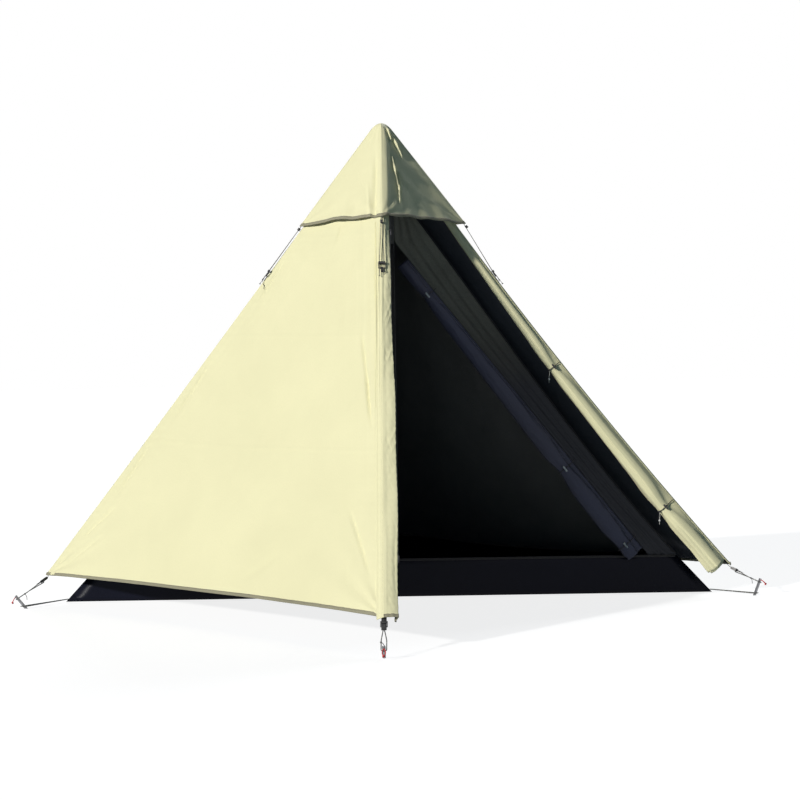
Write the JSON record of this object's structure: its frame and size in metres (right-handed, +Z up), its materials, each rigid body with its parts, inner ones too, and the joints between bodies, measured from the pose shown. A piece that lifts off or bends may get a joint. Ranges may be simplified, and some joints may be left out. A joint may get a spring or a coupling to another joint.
{
  "type": "camping tent",
  "caption": "Square one-pole pyramid tent with a rolled-up door, a rain hood tied down the ridges, a half inner tent with bathtub floor, a telescopic pole, corner buckles, guy cords and stakes.",
  "frame": {"origin": "On the ground under the peak, at the middle of the pole foot's underside.", "axes": "+X towards the right corner, +Y towards the back corner, +Z up. The front corner, which the door jamb runs down to, is on -Y, and the open door is on the front-right face."},
  "size_m": [3.3409, 3.4471, 2.2422],
  "materials": {
    "fly_fabric": "coated cloth, cream outside and black inside",
    "inner_fabric": "light woven cloth, matt",
    "tub_fabric": "coated waterproof cloth, slight sheen",
    "webbing": "woven tape",
    "cord": "braided cord",
    "tie_cord": "round elastic cord",
    "black_plastic": "moulded, fine grain",
    "grey_plastic": "moulded, fine grain",
    "pole_aluminium": "satin anodised",
    "stake_aluminium": "satin",
    "foot_rubber": "matt",
    "zip_metal": "black coated"
  },
  "bodies": {
    "tent": {"corner_strap_back": "webbing", "corner_strap_front": "webbing", "corner_strap_left": "webbing", "corner_strap_right": "webbing", "fly_door_jamb": "fly_fabric", "fly_door_roll": "fly_fabric", "fly_panel_back_left": "fly_fabric", "fly_panel_back_right": "fly_fabric", "fly_panel_front_left": "fly_fabric", "fly_tieback_lower": "tie_cord", "fly_tieback_upper": "tie_cord", "hood_cord_back": "cord", "hood_cord_front": "cord", "hood_cord_left": "cord", "hood_cord_right": "cord", "inner_corner_cord_back": "cord", "inner_corner_cord_left": "cord", "inner_corner_cord_right": "cord", "inner_door_roll": "inner_fabric", "inner_floor": "tub_fabric", "inner_hanger": "webbing", "inner_tieback_lower": "tie_cord", "inner_tieback_middle": "tie_cord", "inner_tieback_upper": "tie_cord", "inner_wall_back_left": "inner_fabric", "inner_wall_back_right": "inner_fabric", "inner_wall_front_left": "inner_fabric", "inner_wall_front_right": "inner_fabric", "peak_patch": "webbing", "pole_upper": "pole_aluminium", "rain_hood": "fly_fabric"},
    "stake_front": {"stake_front": "stake_aluminium"},
    "buckle_front": {"ladder_lock_front": "black_plastic", "guy_cord_front": "cord"},
    "tensioner_front": {"hood_tensioner_front": "black_plastic"},
    "stake_right": {"stake_right": "stake_aluminium"},
    "buckle_right": {"ladder_lock_right": "black_plastic", "guy_cord_right": "cord"},
    "tensioner_right": {"hood_tensioner_right": "black_plastic"},
    "stake_back": {"stake_back": "stake_aluminium"},
    "buckle_back": {"ladder_lock_back": "black_plastic", "guy_cord_back": "cord"},
    "tensioner_back": {"hood_tensioner_back": "black_plastic"},
    "stake_left": {"stake_left": "stake_aluminium"},
    "buckle_left": {"ladder_lock_left": "black_plastic", "guy_cord_left": "cord"},
    "tensioner_left": {"hood_tensioner_left": "black_plastic"},
    "fly_toggle_upper": {"fly_toggle_upper": "grey_plastic"},
    "fly_toggle_lower": {"fly_toggle_lower": "grey_plastic"},
    "inner_toggle_upper": {"inner_toggle_upper": "grey_plastic"},
    "inner_toggle_middle": {"inner_toggle_middle": "grey_plastic"},
    "inner_toggle_lower": {"inner_toggle_lower": "grey_plastic"},
    "pole_slide": {"pole_lower": "pole_aluminium", "pole_foot": "foot_rubber", "pole_clamp": "black_plastic"},
    "clamp_lever": {"pole_clamp_lever": "black_plastic"},
    "fly_zip": {"fly_zip_slider": "zip_metal"},
    "fly_zip_tab": {"fly_zip_pull": "zip_metal"},
    "inner_zip": {"inner_zip_slider": "zip_metal"},
    "inner_zip_tab": {"inner_zip_pull": "zip_metal"}
  },
  "joints": [
    {"name": "stake_front_pull", "type": "slide", "parent": "tent", "child": "stake_front", "axis": [0, -0.6428, 0.766], "range_m": [0, 0.12]},
    {"name": "buckle_front_slide", "type": "slide", "parent": "tent", "child": "buckle_front", "axis": [0, -0.8972, -0.4415], "range_m": [0, 0.02]},
    {"name": "tensioner_front_slide", "type": "slide", "parent": "tent", "child": "tensioner_front", "axis": [0, -0.605, -0.7962], "range_m": [0, 0.012]},
    {"name": "stake_right_pull", "type": "slide", "parent": "tent", "child": "stake_right", "axis": [0.3415, -0.0191, 0.9397], "range_m": [0, 0.12]},
    {"name": "buckle_right_slide", "type": "slide", "parent": "tent", "child": "buckle_right", "axis": [0.7447, -0.568, -0.3504], "range_m": [0, 0.02]},
    {"name": "tensioner_right_slide", "type": "slide", "parent": "tent", "child": "tensioner_right", "axis": [0.5926, 0, -0.8055], "range_m": [0, 0.012]},
    {"name": "stake_back_pull", "type": "slide", "parent": "tent", "child": "stake_back", "axis": [0, 0.5, 0.866], "range_m": [0, 0.12]},
    {"name": "buckle_back_slide", "type": "slide", "parent": "tent", "child": "buckle_back", "axis": [0, 0.9186, -0.3952], "range_m": [0, 0.02]},
    {"name": "tensioner_back_slide", "type": "slide", "parent": "tent", "child": "tensioner_back", "axis": [0, 0.6042, -0.7968], "range_m": [0, 0.012]},
    {"name": "stake_left_pull", "type": "slide", "parent": "tent", "child": "stake_left", "axis": [-0.6127, -0.0607, 0.788], "range_m": [0, 0.12]},
    {"name": "buckle_left_slide", "type": "slide", "parent": "tent", "child": "buckle_left", "axis": [-0.5184, -0.7815, -0.3472], "range_m": [0, 0.02]},
    {"name": "tensioner_left_slide", "type": "slide", "parent": "tent", "child": "tensioner_left", "axis": [-0.605, 0, -0.7962], "range_m": [0, 0.012]},
    {"name": "fly_toggle_upper_turn", "type": "hinge", "parent": "tent", "child": "fly_toggle_upper", "pos_m": [0.76332, -0.03599, 1.03952], "axis": [0.1783, -0.9743, 0.1373], "range_deg": [-90, 90]},
    {"name": "fly_toggle_lower_turn", "type": "hinge", "parent": "tent", "child": "fly_toggle_lower", "pos_m": [1.25731, -0.04467, 0.39893], "axis": [0.1717, -0.9747, 0.1428], "range_deg": [-90, 90]},
    {"name": "inner_toggle_upper_turn", "type": "hinge", "parent": "tent", "child": "inner_toggle_upper", "pos_m": [0.19822, 0.01231, 1.37286], "axis": [0, -1, 0], "range_deg": [-90, 90]},
    {"name": "inner_toggle_middle_turn", "type": "hinge", "parent": "tent", "child": "inner_toggle_middle", "pos_m": [0.8095, 0.00147, 0.57473], "axis": [0, -1, 0], "range_deg": [-90, 90]},
    {"name": "inner_toggle_lower_turn", "type": "hinge", "parent": "tent", "child": "inner_toggle_lower", "pos_m": [1.07868, -0.00331, 0.22326], "axis": [0, -1, 0], "range_deg": [-90, 90]},
    {"name": "pole_telescope", "type": "slide", "parent": "tent", "child": "pole_slide", "axis": [0, 0, 1], "range_m": [0, 0.78]},
    {"name": "clamp_lever_hinge", "type": "hinge", "parent": "pole_slide", "child": "clamp_lever", "pos_m": [0, -0.0245, 1.2], "axis": [-1, 0, 0], "range_deg": [0, 110]},
    {"name": "fly_zip_run", "type": "slide", "parent": "tent", "child": "fly_zip", "axis": [0.0061, -0.6059, -0.7955], "range_m": [0, 1.72]},
    {"name": "fly_zip_tab_swing", "type": "hinge", "parent": "fly_zip", "child": "fly_zip_tab", "pos_m": [0.03774, -0.36855, 1.63861], "axis": [-0.783, -0.4977, 0.3731], "range_deg": [0, 130]},
    {"name": "inner_zip_run", "type": "slide", "parent": "tent", "child": "inner_zip", "axis": [0, 0, 1], "range_m": [0, 1.4]},
    {"name": "inner_zip_tab_swing", "type": "hinge", "parent": "inner_zip", "child": "inner_zip_tab", "pos_m": [0.047, 0.0453, 0.1802], "axis": [-1, 0, 0], "range_deg": [0, 130]}
  ]
}
